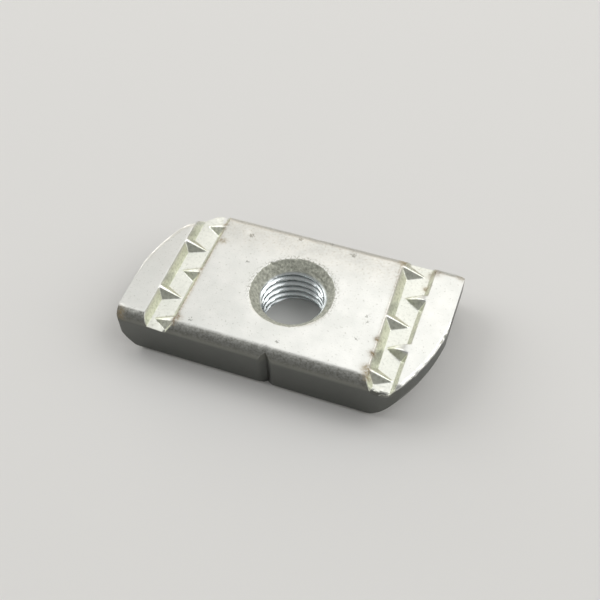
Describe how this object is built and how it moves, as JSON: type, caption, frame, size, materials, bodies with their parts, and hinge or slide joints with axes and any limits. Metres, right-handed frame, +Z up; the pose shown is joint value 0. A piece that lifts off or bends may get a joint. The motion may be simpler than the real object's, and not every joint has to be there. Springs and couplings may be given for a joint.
{
  "type": "channel nut",
  "caption": "Plated steel channel nut: a flat slab with two rounded corners, a countersunk threaded bore and a toothed groove across each end that bites on a strut channel's lips.",
  "frame": {"origin": "on the bore axis, on the flat underside, at the middle of the length and width", "axes": "+X along the length, +Y across the width, +Z up along the bore towards the toothed side"},
  "size_m": [0.0356, 0.018, 0.006],
  "materials": {
    "zinc_steel": "bright zinc plating"
  },
  "bodies": {
    "root": {"channel_nut": "zinc_steel"}
  },
  "joints": []
}
